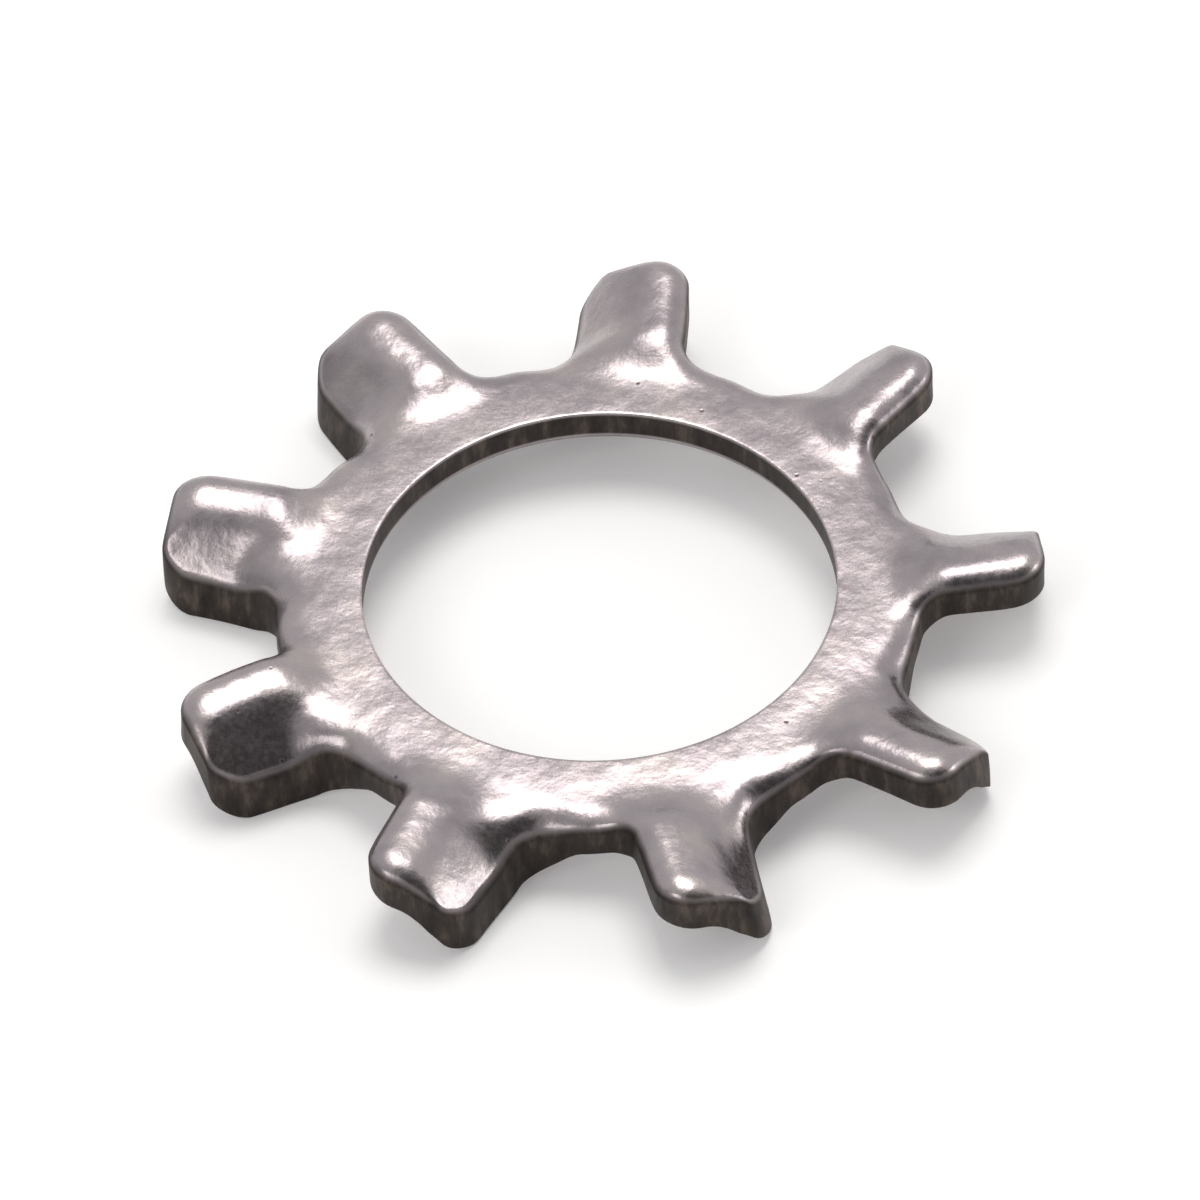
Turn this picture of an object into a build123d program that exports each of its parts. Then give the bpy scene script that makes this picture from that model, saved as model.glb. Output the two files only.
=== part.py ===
from build123d import *
from math import cos, radians, tan
import os

# Toothed lock washer with external teeth, in stainless steel (millimetres).
# It is one piece of strip, pierced, blanked to a star and then twisted at each tooth,
# so it is one solid. Origin: on the bore axis, half way through the flat ring.
# +Z is the side whose edges rolled over in blanking, and the burr side looks down.

# Strip and ring: the gullets are straight, so their diameter is across their middles
strip_thickness = 0.62
bore_diameter = 6.7
gullet_diameter = 9.14
outside_diameter = 12.6

# Teeth as blanked
tooth_count = 9
tooth_width = 1.9
tooth_corner_radius = 0.5
gullet_corner_radius = 0.35

# Teeth as pressed: from above, the counterclockwise side of each tooth goes down and the
# clockwise side goes up, between walls that stay upright. The lowered side is drawn in.
# The bend begins just inside the gullet circle.
tooth_draw = 0.27
bend_inset = 0.07
bend_length = 0.3

# Top of a tooth: a gentle slope, and past a ridge the steep face of the upper punch
ridge_offset = 0.12
ridge_rise = 0.08
upper_angle = 16.0
punch_angle = 44.0

# Underside: a steep face, and past a small step the gentle face of the lower punch
step_offset = 0.1
step_rise = 0.04
step_height = 0.08
lower_angle = 37.0
rest_angle = 6.0

# Both punches stop short of the bend's inner end, with an upright shoulder
shoulder_inset = 0.2

# Edges: roll-over along the blanked outline, on top, and round the bore, underneath
roll_radius = 0.27
bore_roll_radius = 0.18

# Worked out from the sizes above
bore_radius = bore_diameter / 2
gullet_radius = gullet_diameter / 2
tip_radius = outside_diameter / 2
half_thickness = strip_thickness / 2
bend_start = gullet_radius - bend_inset
bend_end = bend_start + bend_length
blade_length = tip_radius - bend_end

# Fillets that their walls limit: between the teeth, at the corners of a short tooth, and
# its roll-over inside those corners
half_pitch = radians(180 / tooth_count)
gullet_width = gullet_diameter * tan(half_pitch) - tooth_width / cos(half_pitch)
root_fillet = min(gullet_corner_radius, gullet_width / 2)
corner_fillet = min(tooth_corner_radius, 0.7 * blade_length)
roll_fillet = min(roll_radius, 0.6 * corner_fillet)

# Corners of a pressed tooth, across it and up: its two walls, its ridge and its step
raised_wall = -tooth_width / 2
lowered_wall = tooth_width / 2 - tooth_draw
ridge = (-ridge_offset, half_thickness + ridge_rise)
step_foot = (-step_offset, -half_thickness + step_rise)
step_top = (-step_offset, step_foot[1] + step_height)
raised_top = ridge[1] + (ridge[0] - raised_wall) * tan(radians(upper_angle))
lowered_top = ridge[1] - (lowered_wall - ridge[0]) * tan(radians(upper_angle))
punched_top = ridge[1] - (lowered_wall - ridge[0]) * tan(radians(punch_angle))
raised_foot = step_top[1] + (step_top[0] - raised_wall) * tan(radians(rest_angle))
lowered_foot = step_foot[1] - (lowered_wall - step_foot[0]) * tan(radians(lower_angle))

# Planes across the tooth on the +X axis: where the bend ends, and at the shoulders
bend_plane = Plane(origin=(bend_end, 0, 0), x_dir=(0, 1, 0), z_dir=(1, 0, 0))
shoulder_plane = bend_plane.offset(-shoulder_inset)

# Flat ring with the stubs of the teeth, cut off where the bend begins
with BuildPart() as ring:
    with BuildSketch(Plane.XY.offset(-half_thickness)) as blank:
        RegularPolygon(gullet_radius, tooth_count, major_radius=False)
        with PolarLocations(0, tooth_count):
            Rectangle(tip_radius, tooth_width, align=(Align.MIN, Align.CENTER))
        tooth_roots = blank.vertices().group_by(SortBy.DISTANCE)[0]
        fillet(tooth_roots, root_fillet)
        with PolarLocations(bend_start, tooth_count):
            Rectangle(
                tip_radius,
                tooth_width + 2 * root_fillet,
                align=(Align.MIN, Align.CENTER),
                mode=Mode.SUBTRACT,
            )
        Circle(bore_radius, mode=Mode.SUBTRACT)
    extrude(amount=strip_thickness)
    upper_face = ring.faces().sort_by(Axis.Z)[-1]
    # The edges nearest the axis are the ends of the stubs, which aren't rolled over
    upper_edges = upper_face.outer_wire().edges().sort_by(SortBy.DISTANCE)
    fillet(upper_edges[tooth_count:], roll_radius)
    lower_face = ring.faces().sort_by(Axis.Z)[0]
    fillet(lower_face.inner_wires()[0].edges(), bore_roll_radius)
stub_face = ring.faces().filter_by(Axis.X).sort_by(Axis.X)[-1]

# Tooth beyond the bend before the punches bear on it, with its outline and roll-over
with BuildPart() as blade:
    with BuildSketch(bend_plane) as section:
        with BuildLine() as section_outline:
            Polyline(
                (raised_wall, raised_foot),
                (lowered_wall, lowered_foot),
                (lowered_wall, lowered_top),
                (raised_wall, raised_top),
                close=True,
            )
        make_face()
    extrude(amount=blade_length)
    fillet(blade.edges().filter_by(Axis.Z).group_by(Axis.X)[-1], corner_fillet)
    blade_top = blade.faces().sort_by(Axis.Z)[-1]
    fillet(blade_top.edges().sort_by(Axis.X)[1:], roll_fillet)
blade_face = blade.faces().filter_by(Axis.X).sort_by(Axis.X)[0]

# One tooth: the bend from the stub to the blade, the blade, and the punched faces, cut
# by two profiles that reach past its walls
with BuildPart() as tooth:
    loft([stub_face, blade_face])
    add(blade)
    with BuildSketch(shoulder_plane) as punches:
        with BuildLine() as upper_punch:
            Polyline(
                ridge,
                (lowered_wall, punched_top),
                (tooth_width, punched_top),
                (tooth_width, tooth_width),
                (ridge[0], tooth_width),
                close=True,
            )
        make_face()
        with BuildLine() as lower_punch:
            Polyline(
                (-tooth_width, raised_foot),
                (raised_wall, raised_foot),
                step_top,
                step_foot,
                (lowered_wall, lowered_foot),
                (lowered_wall, -tooth_width),
                (-tooth_width, -tooth_width),
                close=True,
            )
        make_face()
    extrude(amount=tip_radius, mode=Mode.SUBTRACT)

with BuildPart() as lock_washer:
    add(ring)
    with PolarLocations(0, tooth_count):
        add(tooth)

lock_washer.part.label = "lock_washer"
os.makedirs("parts", exist_ok=True)
export_step(lock_washer.part, "parts/lock_washer.step")
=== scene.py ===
from math import atan2, cos, hypot, pi, radians, sin, sqrt, tan

import bmesh
import bpy
from mathutils import Matrix, Vector, noise


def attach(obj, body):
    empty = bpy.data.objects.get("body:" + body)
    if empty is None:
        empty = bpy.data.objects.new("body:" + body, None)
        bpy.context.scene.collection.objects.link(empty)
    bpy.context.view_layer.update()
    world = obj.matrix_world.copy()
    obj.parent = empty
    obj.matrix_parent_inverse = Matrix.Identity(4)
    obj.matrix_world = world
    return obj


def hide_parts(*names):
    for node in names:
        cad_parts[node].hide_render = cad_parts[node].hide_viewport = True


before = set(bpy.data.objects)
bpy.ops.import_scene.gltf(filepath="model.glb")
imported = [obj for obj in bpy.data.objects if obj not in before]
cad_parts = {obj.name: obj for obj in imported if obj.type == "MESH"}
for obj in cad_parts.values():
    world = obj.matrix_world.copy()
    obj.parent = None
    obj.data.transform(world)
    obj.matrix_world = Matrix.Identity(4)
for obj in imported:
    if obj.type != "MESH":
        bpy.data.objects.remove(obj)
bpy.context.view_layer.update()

# The washer's own sizes, in millimetres, as its solid has them
millimetre = 0.001
strip_thickness = 0.62
bore_radius = 3.35
gullet_radius = 4.57
tip_radius = 6.3
tooth_count = 9
tooth_half_width = 0.95
tooth_corner = 0.5
root_fillet = 0.35
half_pitch = radians(180 / tooth_count)

# Edges: the rolled-over blanked edge, the rolled-over rim under the bore, and the sharp
# edges, each rounded up to the steepness given, where 1 is upright. The roll-over shrinks
# to a share of itself across the tooth, towards the side that the upper punch bears on
roll_width, roll_depth, roll_steepest = 0.42, 0.2, 0.965
pressed_roll, pressed_from, pressed_over = 0.3, -0.2, 0.6
bore_roll_width, bore_roll_depth, bore_roll_steepest = 0.27, 0.18, 0.97
sharp_break, sharp_steepest = 0.015, 0.9
burnish_width = 0.09
crease_angle = radians(34)

# Section of a pressed tooth: top and underside rise on one side of it and fall on the
# other, past a ridge on top and past a step underneath, which fades out at the outline
ridge, ridge_rise, ridge_softness = -0.12, 0.19, 0.2
raised_slope, raised_curve, raised_climb = 0.24, 0.2, 0.03
lowered_slope, lowered_curve = 0.84, 0.06
step, step_width, step_fade = -0.1, 0.1, 0.4
step_top, step_foot = 0.12, 0.04
rest_slope = tan(radians(6))
under_slope = tan(radians(36.5))

# Where each part of the pressing begins and is complete, out from the axis: the drawing
# in, the lift of the top, the bend of its lowered side, and the punch under the raised
# side. A share of the last three begins with the drawing in
draw_start, draw_end = 3.75, 4.95
lift_start, lift_end = 4.05, 4.88
bend_start, bend_end = 4.1, 5.25
press_start, press_end = 4.5, 4.88
draw_share = 0.45

# The ring's top falls a little from the bore outwards
ring_crown, crown_start, crown_width = 0.03, 0.1, 1.0

# Walls: the lowered side is drawn in towards the tip, and leans
draw_in, draw_taper, wall_lean = 0.25, 0.1, 0.06
raised_taper = 0.04

# No tooth is quite like the next: how far the metal strays in plan and in height, the
# distance over which that changes, and where each axis starts in the noise
stray_plan, stray_height, stray_spacing = 0.06, 0.026, 1.3
stray_places = (Vector((61.4, 8.2, 3.7)), Vector((9.8, 71.3, 5.2)), Vector((2.4, 12.9, 81.5)))

# Grid of one sector: columns across the tooth and rows out from the bore
gullet_columns = 5
fillet_columns = 8
corner_columns = 10
middle_columns = 8
bore_rows = 8
ring_rows = 9
roll_rows = 12
blade_rows = 16
wall_cuts = 8

# How near a point is to a seam or to the outline to be on it, and to another point to be
# the same, and the shares of the height between which a point is in a wall
seam_tolerance = 0.0001
outline_tolerance = 0.0001
merge_distance = 0.0005
wall_from, wall_to = 0.01, 0.96

# Colours of the faces and of the walls along the noise that picks them, and of a nick. The
# walls' near-black is partly the torn metal's own tone and partly painted shade, standing in
# for the dark surroundings they reflect
face_colours = [(0.32, (0.295, 0.262, 0.276)), (0.5, (0.365, 0.325, 0.337)),
                (0.68, (0.435, 0.388, 0.38))]
wall_colours_and_painted_shade = [(0.3, (0.014, 0.011, 0.01)), (0.52, (0.043, 0.033, 0.028)),
                (0.75, (0.125, 0.097, 0.08))]
nick_colour = (0.1, 0.08, 0.075, 1)

# Roughness of the smoothest face, what the grain adds to it, and that of the walls, which
# are also less metallic
least_roughness, grain_roughness, wall_roughness = 0.16, 0.22, 0.52
wall_dullness = 0.25

# Relief: the height in metres that a full noise stands for, and the share of each
relief_height = 0.000012
grain_relief, dent_relief, swell_relief = 0.14, 0.75, 1.9
nick_relief, tear_relief = 0.5, 0.8

# The camera's direction, from which the lights and the room are set out, and its distance
camera_azimuth = radians(-4.45)
camera_elevation = radians(46.8)
camera_roll = radians(3.0)
camera_distance = 0.235

# The floor, in metres: half its width, and how far below the washer it lies
floor_reach = 3
floor_gap = 0.00001

# Worked out from the sizes above, with the middles of a root's fillet and of a corner
half_thickness = strip_thickness / 2
fillet_y = tooth_half_width + root_fillet
fillet_x = (gullet_radius + root_fillet - fillet_y * sin(half_pitch)) / cos(half_pitch)
corner_x = tip_radius - tooth_corner
corner_y = tooth_half_width - tooth_corner
root_angle = atan2(tooth_half_width, fillet_x)


def smooth(share):
    """A share eased at both ends and kept between 0 and 1."""
    share = min(max(share, 0.0), 1.0)
    return share * share * (3 - 2 * share)


def ramp(value, softness):
    """Rises one for one above 0 and stays near 0 below it."""
    return (value + hypot(value, softness)) / 2


def rounded(distance, width, depth, steepest):
    """How far a rounded edge has fallen at a distance from the outline."""
    if distance >= width:
        return 0.0
    reach = steepest * (1 - max(distance, 0.0) / width)
    return depth * (1 - sqrt(1 - reach * reach)) / (1 - sqrt(1 - steepest * steepest))


def outline_distance(x, y):
    """Distance in from the blanked outline of the flat star."""
    y = abs(y)
    if x >= fillet_x:
        if x > corner_x and y > corner_y:
            return tooth_corner - hypot(x - corner_x, y - corner_y)
        return min(tooth_half_width - y, tip_radius - x)
    if atan2(fillet_y - y, fillet_x - x) > half_pitch:
        return hypot(fillet_x - x, fillet_y - y) - root_fillet
    return gullet_radius - x * cos(half_pitch) - y * sin(half_pitch)


def root_columns():
    """Where each column of the grid meets the outline or the root of the tooth, from
    the gullet on one side of the tooth to the gullet on the other."""
    tangent = Vector((fillet_x - root_fillet * cos(half_pitch),
                      fillet_y - root_fillet * sin(half_pitch)))
    seam = Vector((gullet_radius * cos(half_pitch), gullet_radius * sin(half_pitch)))
    side = [seam.lerp(tangent, n / gullet_columns) for n in range(gullet_columns)]
    for n in range(fillet_columns):
        turn = half_pitch + (pi / 2 - half_pitch) * n / fillet_columns
        side.append(Vector((fillet_x - root_fillet * cos(turn),
                            fillet_y - root_fillet * sin(turn))))
    for n in range(corner_columns):
        turn = pi / 2 * (1 - n / corner_columns)
        side.append(Vector((fillet_x, corner_y + tooth_corner * sin(turn))))
    lowered_foot, raised_foot = step + step_width / 2, step - step_width / 2
    middle = []
    for start, end in ((corner_y, lowered_foot), (raised_foot, -corner_y)):
        for n in range(middle_columns + 1):
            middle.append(Vector((fillet_x, start + (end - start) * n / middle_columns)))
    other_side = [Vector((point.x, -point.y)) for point in reversed(side)]
    return side + middle + other_side


def ring_shares():
    """Rows of the ring: close together at the bore's rim and under the roll-over."""
    width = gullet_radius - bore_radius
    shares = []
    for n in range(bore_rows):
        shares.append(bore_roll_width * (1 - cos(pi / 2 * n / bore_rows)) / width)
    plain = width - roll_width - bore_roll_width
    for n in range(ring_rows):
        shares.append((bore_roll_width + plain * n / ring_rows) / width)
    for n in range(roll_rows + 1):
        shares.append(1 - roll_width * (1 - sin(pi / 2 * n / roll_rows)) / width)
    return shares


def blade_shares():
    """Rows of the tooth beyond its root: close together at the tip."""
    length = tip_radius - fillet_x
    plain = length - roll_width
    shares = [plain * n / blade_rows / length for n in range(1, blade_rows)]
    for n in range(roll_rows + 1):
        shares.append(1 - roll_width * (1 - sin(pi / 2 * n / roll_rows)) / length)
    return shares


def tip_reach(y):
    """How far out the tooth goes at this distance from its middle."""
    beyond = max(abs(y) - corner_y, 0.0)
    return corner_x + sqrt(max(tooth_corner ** 2 - beyond ** 2, 0.0))


def on_tooth(x, y, start, end):
    """Share of the pressing that is reached here: it grows from start to end along the
    tooth and fades out beside the tooth."""
    beside = (abs(atan2(y, x)) - root_angle) / (half_pitch - root_angle)
    return smooth((x - start) / (end - start)) * (1 - smooth(beside))


def bent_share(x, y, start, end):
    """Share of the pressing where the metal is first drawn and then bent short."""
    drawn = on_tooth(x, y, draw_start, end)
    return draw_share * drawn + (1 - draw_share) * on_tooth(x, y, start, end)


def drawn_in(y, lean):
    """Place across the tooth once its lowered side has been drawn in."""
    return y - (draw_in + lean) * smooth(y / tooth_half_width)


def pressed_plan(x, y, lean):
    """The same at any place on the washer, with the taper of a tooth's two walls."""
    taper = x - (draw_end + tip_radius) / 2
    tapered = draw_taper * taper * smooth(y / tooth_half_width)
    tapered -= raised_taper * max(taper, 0.0) * smooth(-y / tooth_half_width)
    share = on_tooth(x, y, draw_start, draw_end)
    return y + share * (drawn_in(y, lean) - y - tapered)


def upper_surface(x, y):
    """Where the press takes a place on the blank's upper face."""
    from_bore, from_outline = hypot(x, y) - bore_radius, outline_distance(x, y)
    lowered = ramp(drawn_in(y, wall_lean) - ridge, ridge_softness)
    raised = ramp(ridge - y, ridge_softness)
    z = half_thickness - ring_crown * smooth((from_bore - crown_start) / crown_width)
    z += bent_share(x, y, lift_start, lift_end) * (
        ridge_rise + raised_slope * raised - raised_curve * raised ** 2
        + raised_climb * ramp(x - lift_end, ridge_softness))
    z -= bent_share(x, y, bend_start, bend_end) * (
        lowered_slope * lowered + lowered_curve * lowered ** 2)
    pressed = on_tooth(x, y, bend_start, bend_end) * smooth((y - pressed_from) / pressed_over)
    roll = 1 - (1 - pressed_roll) * pressed
    z -= rounded(from_outline, roll_width * roll, roll_depth * roll, roll_steepest)
    z -= rounded(from_bore, sharp_break, sharp_break, sharp_steepest)
    return Vector((x, pressed_plan(x, y, wall_lean), z))


def lower_surface(x, y):
    """Where the press takes a place on the blank's lower face."""
    from_bore, from_outline = hypot(x, y) - bore_radius, outline_distance(x, y)
    across = drawn_in(y, 0.0)
    lowered = on_tooth(x, y, draw_start, draw_end) * (
        step_foot - under_slope * ramp(across - step, ridge_softness))
    raised = bent_share(x, y, press_start, press_end) * (
        step_top + rest_slope * max(step - across, 0.0))
    faded = step_fade * (1 - smooth(from_outline / roll_width))
    past_step = smooth((step - y) / (step_width + faded) + 0.5)
    z = -half_thickness + lowered + (raised - lowered) * past_step
    z += rounded(from_outline, sharp_break, sharp_break, sharp_steepest)
    z += rounded(from_bore, bore_roll_width, bore_roll_depth, bore_roll_steepest)
    return Vector((x, pressed_plan(x, y, 0.0), z))


def blanked_sector():
    """One tooth with its share of the ring, from a flat grid."""
    columns = root_columns()
    inner, outer = ring_shares(), blade_shares()
    last_column = len(columns) - 1
    rows = len(inner) + len(outer) - 1
    sector = bmesh.new()
    bmesh.ops.create_grid(sector, x_segments=last_column, y_segments=rows, size=0.5)
    first_tooth_column = gullet_columns + fillet_columns
    last_tooth_column = last_column - first_tooth_column
    spare = []
    for face in sector.faces:
        centre = face.calc_center_median()
        column = (centre.x + 0.5) * last_column
        row = (centre.y + 0.5) * rows
        if row > len(inner) - 1 and not first_tooth_column < column < last_tooth_column:
            spare.append(face)
    bmesh.ops.delete(sector, geom=spare, context="FACES")
    for vert in sector.verts:
        root = columns[round((vert.co.x + 0.5) * last_column)]
        row = round((vert.co.y + 0.5) * rows)
        if row < len(inner):
            flat = (root.normalized() * bore_radius).lerp(root, inner[row])
        else:
            reach = tip_reach(root.y) - root.x
            flat = Vector((root.x + reach * outer[row - len(inner)], root.y))
        vert.co = (flat.x, flat.y, half_thickness)
    return sector


def thicken(sector):
    """Gives the blank its thickness, opens the seams to its neighbours and cuts its walls
    into rows."""
    below = bmesh.ops.extrude_face_region(sector, geom=sector.faces[:])["geom"]
    below = [item for item in below if isinstance(item, bmesh.types.BMVert)]
    bmesh.ops.translate(sector, verts=below, vec=(0, 0, -strip_thickness))
    at_seam = {vert for vert in sector.verts
               if abs(abs(atan2(vert.co.y, vert.co.x)) - half_pitch) < seam_tolerance}
    seam_faces = [face for face in sector.faces if at_seam.issuperset(face.verts)]
    bmesh.ops.delete(sector, geom=seam_faces, context="FACES_ONLY")
    loose = [edge for edge in sector.edges if not edge.link_faces]
    bmesh.ops.delete(sector, geom=loose, context="EDGES")
    upright = [edge for edge in sector.edges
               if abs(edge.verts[0].co.z - edge.verts[1].co.z) > half_thickness]
    bmesh.ops.subdivide_edges(sector, edges=upright, cuts=wall_cuts)


def press(sector):
    """Presses and twists the tooth, and marks the shear zone, where the colour is darkened
    partly for the torn metal and partly as painted shade: all of a wall, and less and less of
    the burnished edge beside it."""
    # This mask picks where the dark wall colour goes: part metal tone, part painted shade.
    sheared = sector.verts.layers.float.new("sheared")
    for vert in sector.verts:
        x, y, z = vert.co
        height = z / strip_thickness + 0.5
        vert.co = lower_surface(x, y).lerp(upper_surface(x, y), height)
        from_outline = outline_distance(x, y)
        in_wall = wall_from < height < wall_to
        if in_wall or height < wall_from and from_outline < outline_tolerance:
            vert[sheared] = 1.0
        else:
            vert[sheared] = 1 - smooth(from_outline / burnish_width)


def strayed(place):
    """The same place, a little off, which grows from the bore out to the teeth."""
    outward = smooth((hypot(place.x, place.y) - bore_radius) / (gullet_radius - bore_radius))
    x, y, z = (noise.noise(place / stray_spacing + start) * outward for start in stray_places)
    return place + Vector((stray_plan * x, stray_plan * y, stray_height * z))


def washer_mesh():
    """The whole washer, from one sector and its copies round the bore."""
    washer = blanked_sector()
    thicken(washer)
    press(washer)
    copies = tooth_count - 1
    bmesh.ops.spin(washer, geom=washer.verts[:] + washer.edges[:] + washer.faces[:],
                   cent=(0, 0, 0), axis=(0, 0, 1), dvec=(0, 0, 0),
                   angle=2 * half_pitch * copies, steps=copies, use_duplicate=True)
    bmesh.ops.remove_doubles(washer, verts=washer.verts[:], dist=merge_distance)
    for vert in washer.verts:
        vert.co = strayed(vert.co)
    bmesh.ops.recalc_face_normals(washer, faces=washer.faces[:])
    bmesh.ops.scale(washer, vec=(millimetre, millimetre, millimetre), verts=washer.verts[:])
    for face in washer.faces:
        face.smooth = True
    for edge in washer.edges:
        edge.smooth = edge.calc_face_angle(0.0) < crease_angle
    mesh = bpy.data.meshes.new("toothed_washer")
    washer.to_mesh(mesh)
    washer.free()
    return mesh


class Value:
    """An output of a node tree, on which arithmetic adds Math nodes."""

    def __init__(self, tree, socket):
        self.tree, self.socket = tree, socket

    def math(self, operation, first, second):
        """Adds one Math node."""
        return self.tree.node("ShaderNodeMath", {"operation": operation},
                              {0: first, 1: second})

    def __add__(self, other):
        return self.math("ADD", self, other)

    def __sub__(self, other):
        return self.math("SUBTRACT", self, other)

    def __rsub__(self, other):
        return self.math("SUBTRACT", other, self)

    def __mul__(self, other):
        return self.math("MULTIPLY", self, other)

    __radd__ = __add__
    __rmul__ = __mul__


class NodeTree:
    """The node tree of a material or of the room."""

    def __init__(self, owner):
        owner.use_nodes = True
        self.nodes, self.links = owner.node_tree.nodes, owner.node_tree.links
        self.nodes.clear()

    def node(self, kind, settings=None, sockets=None, output=0):
        """Adds a node: its settings first, then the values or links of its sockets."""
        node = self.nodes.new(kind)
        for name, setting in (settings or {}).items():
            if name == "stops":
                elements = node.color_ramp.elements
                while len(elements) < len(setting):
                    elements.new(0.5)
                for element, (position, colour) in zip(elements, setting):
                    element.position, element.color = position, (*colour, 1)
            else:
                setattr(node, name, setting)
        for name, given in (sockets or {}).items():
            if isinstance(given, Value):
                self.links.new(given.socket, node.inputs[name])
            else:
                node.inputs[name].default_value = given
        return Value(self, node.outputs[output]) if node.outputs else None


def grey(value):
    return (value, value, value)


def fractal(tree, place, scale, detail, roughness):
    """A noise with finer noises in it, repeated scale times in a metre."""
    return tree.node("ShaderNodeTexNoise", sockets={
        "Vector": place, "Scale": scale, "Detail": detail, "Roughness": roughness})


def tumbled_stainless():
    """Blanked stainless strip after tumbling: satin faces with a fine grain and small dents,
    and torn walls with upright tears, whose near-black colour is partly the metal's own and
    partly painted shade."""
    finish = bpy.data.materials.new("tumbled_stainless")
    tree = NodeTree(finish)
    place = tree.node("ShaderNodeTexCoord", output="Object")
    upright = tree.node("ShaderNodeMapping", sockets={"Vector": place, "Scale": (1, 1, 0.3)})
    sheared = tree.node("ShaderNodeAttribute", {"attribute_name": "sheared"}, output="Fac")
    clouds = fractal(tree, place, scale=1100, detail=3, roughness=0.55)
    grain = fractal(tree, place, scale=13000, detail=3, roughness=0.6)
    dents = fractal(tree, place, scale=4200, detail=3, roughness=0.55)
    swells = fractal(tree, place, scale=1500, detail=2, roughness=0.45)
    tears = fractal(tree, upright, scale=4200, detail=5, roughness=0.65)
    nicks = tree.node("ShaderNodeTexVoronoi", sockets={
        "Vector": place, "Scale": 1500}, output="Distance")
    nick = tree.node("ShaderNodeMapRange", {"interpolation_type": "SMOOTHSTEP"}, {
        "Value": nicks, "From Min": 0.01, "From Max": 0.065, "To Min": 1.0, "To Max": 0.0})
    plain_colour = tree.node("ShaderNodeValToRGB", {"stops": face_colours}, {"Fac": clouds})
    face_colour = tree.node("ShaderNodeMix", {"data_type": "RGBA"}, {
        "Factor": nick, "A": plain_colour, "B": nick_colour}, output="Result")
    # The walls' near-black: partly the torn metal's own tone, partly painted shade for the
    # dark surroundings they reflect; the mask also darkens the burnished edge beside them.
    wall_colour_and_painted_shade = tree.node("ShaderNodeValToRGB", {"stops": wall_colours_and_painted_shade}, {"Fac": tears})
    colour = tree.node("ShaderNodeMix", {"data_type": "RGBA"}, {
        "Factor": sheared, "A": face_colour, "B": wall_colour_and_painted_shade}, output="Result")
    face_rough = least_roughness + grain_roughness * grain
    rough = face_rough + sheared * (wall_roughness - face_rough)
    metal = 1 - wall_dullness * sheared
    face_height = (grain_relief * grain + dent_relief * dents + swell_relief * swells
                   - nick_relief * nick)
    height = face_height + sheared * (tear_relief * tears - face_height)
    relief = tree.node("ShaderNodeBump", sockets={
        "Height": height, "Strength": 1.0, "Distance": relief_height})
    shader = tree.node("ShaderNodeBsdfPrincipled", sockets={
        "Base Color": colour, "Roughness": rough, "Metallic": metal, "Normal": relief})
    tree.node("ShaderNodeOutputMaterial", sockets={"Surface": shader})
    return finish


def pale_floor():
    """A matt white that gives a little light of its own, as a light table does."""
    finish = bpy.data.materials.new("pale_floor")
    tree = NodeTree(finish)
    shader = tree.node("ShaderNodeBsdfPrincipled", sockets={
        "Base Color": (0.97, 0.97, 0.97, 1), "Roughness": 0.75,
        "Emission Color": (1, 1, 1, 1), "Emission Strength": 0.12})
    tree.node("ShaderNodeOutputMaterial", sockets={"Surface": shader})
    return finish


def placed(name, data):
    """A new object in the scene, at the origin."""
    item = bpy.data.objects.new(name, data)
    bpy.context.scene.collection.objects.link(item)
    return item


def towards(azimuth, elevation):
    """Direction from the washer, with azimuth in degrees from behind it, towards the
    right."""
    a, e = radians(azimuth), radians(elevation)
    direction = Vector((sin(a) * cos(e), cos(a) * cos(e), sin(e)))
    return Matrix.Rotation(camera_azimuth, 3, "Z") @ direction


def softbox(name, direction, distance, width, radiance, colour):
    """A round soft light aimed at the washer. Its power is its radiance times pi times
    its area."""
    light = bpy.data.lights.new(name, "AREA")
    light.shape = "DISK"
    light.size = width
    light.energy = radiance * pi * pi * width ** 2 / 4
    light.color = colour
    box = placed(name, light)
    box.location = direction * distance
    box.rotation_euler = direction.to_track_quat("Z", "Y").to_euler()


def facing(tree, direction, target):
    """How far a direction points at a target: 1 straight at it and 0 straight away."""
    aligned = tree.node("ShaderNodeVectorMath", {"operation": "DOT_PRODUCT"}, {
        0: direction, 1: target}, output="Value")
    return aligned * 0.5 + 0.5


# The washer
washer = placed("toothed_washer", washer_mesh())
washer.data.materials.append(tumbled_stainless())
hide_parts("lock_washer")
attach(washer, "root")

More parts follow.
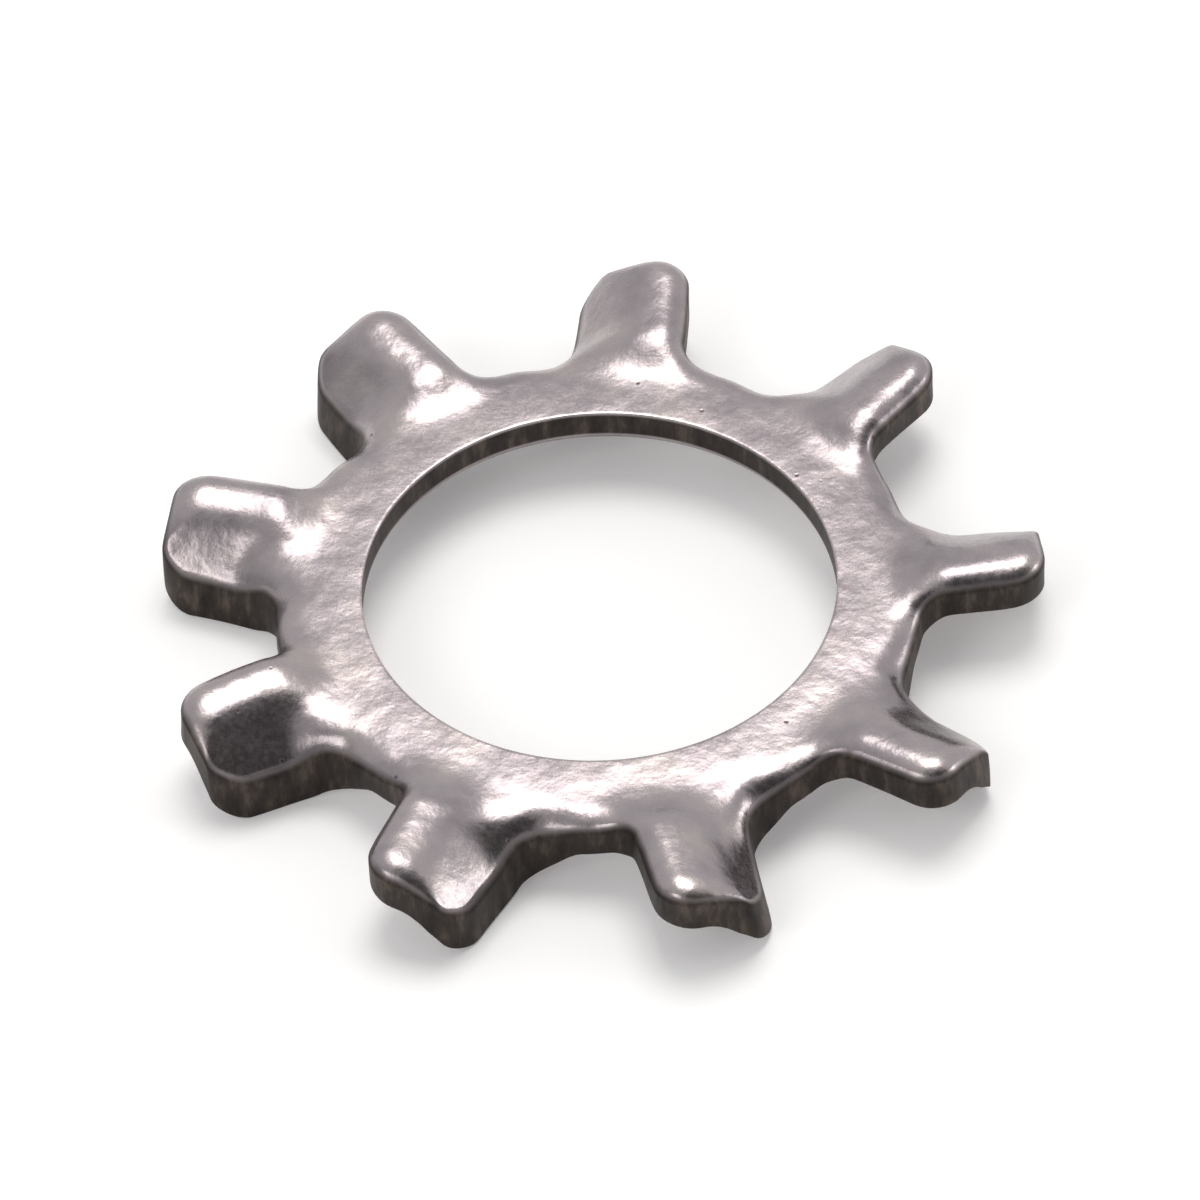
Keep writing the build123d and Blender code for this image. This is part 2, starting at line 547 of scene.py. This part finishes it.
# The plain floor that it lies on
lowest = min(vert.co.z for vert in washer.data.vertices)
floor_mesh = bmesh.new()
bmesh.ops.create_grid(floor_mesh, x_segments=1, y_segments=1, size=floor_reach)
bmesh.ops.translate(floor_mesh, verts=floor_mesh.verts[:], vec=(0, 0, lowest - floor_gap))
floor = placed("floor", bpy.data.meshes.new("floor"))
floor_mesh.to_mesh(floor.data)
floor_mesh.free()
floor.data.materials.append(pale_floor())

# The lights
softbox("overhead_softbox", towards(8, 68), distance=0.6, width=0.34, radiance=4.9,
        colour=(1.0, 0.965, 0.93))
softbox("right_softbox", towards(86, 16), distance=0.7, width=0.3, radiance=3.6,
        colour=(1.0, 0.98, 0.96))
softbox("front_softbox", towards(-132, 38), distance=0.7, width=0.36, radiance=2.6,
        colour=(1.0, 0.98, 0.96))

# The room round the lights: pale behind the washer and grey in front of it, with a dark
# card high up at the front right for the metal to reflect
room = bpy.data.worlds.new("studio_room")
bpy.context.scene.world = room
room_tree = NodeTree(room)
direction = room_tree.node("ShaderNodeTexCoord", output="Generated")
walls = room_tree.node("ShaderNodeValToRGB", {"stops": [
    (0.0, grey(0.37)), (0.5, grey(0.47)), (0.66, grey(0.76)), (0.85, grey(0.84))]},
    {"Fac": facing(room_tree, direction, towards(10, 25))})
card = room_tree.node("ShaderNodeValToRGB", {"stops": [
    (0.9, grey(1.0)), (0.965, grey(0.12))]},
    {"Fac": facing(room_tree, direction, towards(138, 54))})
room_light = room_tree.node("ShaderNodeMix", {"data_type": "RGBA", "blend_type": "MULTIPLY"}, {
    "Factor": 1.0, "A": walls, "B": card}, output="Result")
backdrop = room_tree.node("ShaderNodeBackground", sockets={
    "Color": room_light, "Strength": 1.0})
room_tree.node("ShaderNodeOutputWorld", sockets={"Surface": backdrop})

# The camera, with a long lens aimed at the middle of the washer
camera = placed("camera", bpy.data.cameras.new("camera"))
bpy.context.scene.camera = camera
camera.data.sensor_width = 36
camera.data.lens = 500
camera.data.clip_start = 0.01
camera.data.clip_end = 20
back = Vector((sin(camera_azimuth) * cos(camera_elevation),
               -cos(camera_azimuth) * cos(camera_elevation), sin(camera_elevation)))
camera.location = back * camera_distance
aim = back.to_track_quat("Z", "Y").to_matrix()
camera.rotation_euler = (aim @ Matrix.Rotation(-camera_roll, 3, "Z")).to_euler()

bpy.context.scene.view_settings.view_transform = "Standard"
